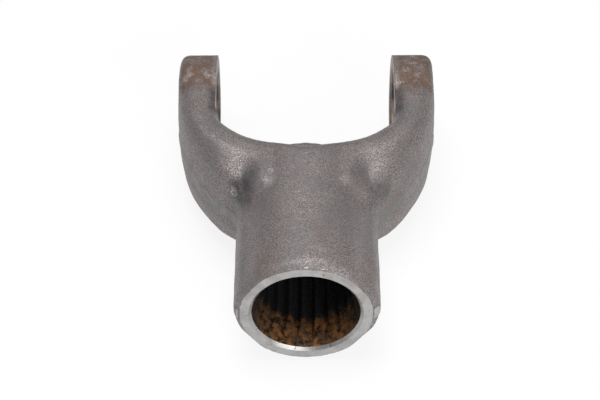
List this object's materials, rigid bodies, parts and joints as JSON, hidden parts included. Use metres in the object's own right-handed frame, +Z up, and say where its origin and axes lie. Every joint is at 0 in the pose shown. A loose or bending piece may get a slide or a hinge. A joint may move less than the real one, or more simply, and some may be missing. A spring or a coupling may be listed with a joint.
{
  "type": "universal joint yoke",
  "caption": "Forged yoke of a universal joint: a hub with an internal spline and a lead-in at its mouth, widening into a fork whose ears are bored for the cross.",
  "frame": {"origin": "centre of the joint, where the hub's axis meets the axis of the ear bores", "axes": "+X along the ear bores, -Y along the hub's axis out of its splined mouth, +Z up out of the forging's parting plane"},
  "size_m": [0.0965, 0.1245, 0.0502],
  "materials": {
    "forged_steel": "as forged, machined where it fits"
  },
  "bodies": {
    "root": {"yoke": "forged_steel"}
  },
  "joints": []
}
